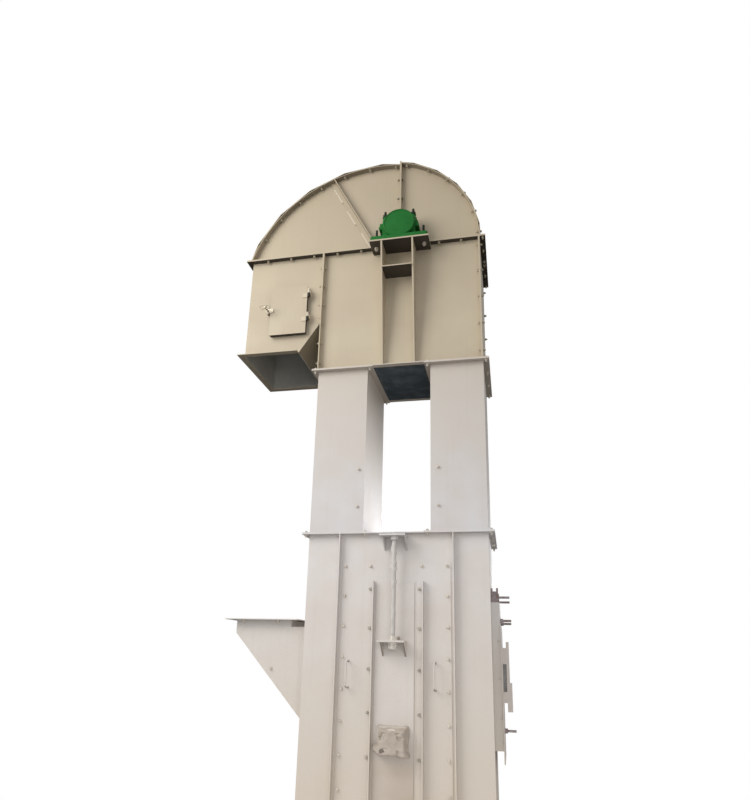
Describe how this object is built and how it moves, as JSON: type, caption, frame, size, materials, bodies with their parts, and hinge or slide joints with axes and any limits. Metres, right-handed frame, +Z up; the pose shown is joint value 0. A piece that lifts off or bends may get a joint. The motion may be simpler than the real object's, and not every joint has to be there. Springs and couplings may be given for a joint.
{
  "type": "twin-leg bucket elevator",
  "caption": "Twin-leg bucket elevator with a boot and inlet hopper, two casing legs, a head box with discharge spout and inspection door, and a curved bolted hood.",
  "frame": {"origin": "on the ground under the boot, midway between the two legs and midway through the casing's depth", "axes": "+Z up; +X from the discharge side to the hatch side, across both legs; -Y is the front, with the head inspection door"},
  "size_m": [2.385, 1.3485, 6.155],
  "materials": {
    "casing_paint": "satin",
    "head_paint": "satin",
    "bearing_enamel": "gloss",
    "bare_steel": "satin",
    "pulley_steel": "matte",
    "belt_rubber": "matte",
    "bucket_steel": "matte",
    "rusty_steel": "matte",
    "wrapped_bearing": "matte"
  },
  "bodies": {
    "casing": {"boot_face_walls": "casing_paint", "boot_side_walls": "casing_paint", "boot_floor": "casing_paint", "casing_flanges": "casing_paint", "leg_gap_plates": "casing_paint", "boot_ribs": "casing_paint", "access_covers": "casing_paint", "slide_guides": "casing_paint", "take_up_top_brackets": "casing_paint", "inlet_hopper": "casing_paint", "inlet_flange": "casing_paint", "hatch_frame": "casing_paint", "hatch_cover": "casing_paint", "casing_legs": "casing_paint", "leg_flanges": "casing_paint", "base_flange": "casing_paint", "cover_handles": "casing_paint", "head_face_walls": "head_paint", "head_side_walls": "head_paint", "head_joint_flanges": "head_paint", "head_top_flange": "head_paint", "hood_bottom_flange": "head_paint", "bearing_pedestals": "head_paint", "hood_plates": "head_paint", "hood_rims": "head_paint", "hood_covers": "head_paint", "hood_joint_flanges": "head_paint", "hood_ribs": "head_paint", "discharge_box": "head_paint", "spout_flange": "head_paint", "door_collar": "head_paint", "door_mountings": "head_paint", "head_bearings": "bearing_enamel", "head_pulley": "pulley_steel", "belt": "belt_rubber", "buckets": "bucket_steel", "hatch_fittings": "rusty_steel"},
    "head_door": {"door_panel": "head_paint", "door_hinges": "head_paint", "door_latch": "bare_steel"},
    "take_up": {"slide_plates": "casing_paint", "take_up_brackets": "casing_paint", "take_up_screws": "casing_paint", "tail_bearings": "wrapped_bearing", "tail_pulley": "pulley_steel"}
  },
  "joints": [
    {"name": "head_door_hinge", "type": "hinge", "parent": "casing", "child": "head_door", "pos_m": [-0.846, -0.4195, 4.63], "axis": [0, 0, 1], "range_deg": [0, 110]},
    {"name": "take_up_slide", "type": "slide", "parent": "casing", "child": "take_up", "axis": [0, 0, 1], "range_m": [0, 0.2]}
  ]
}
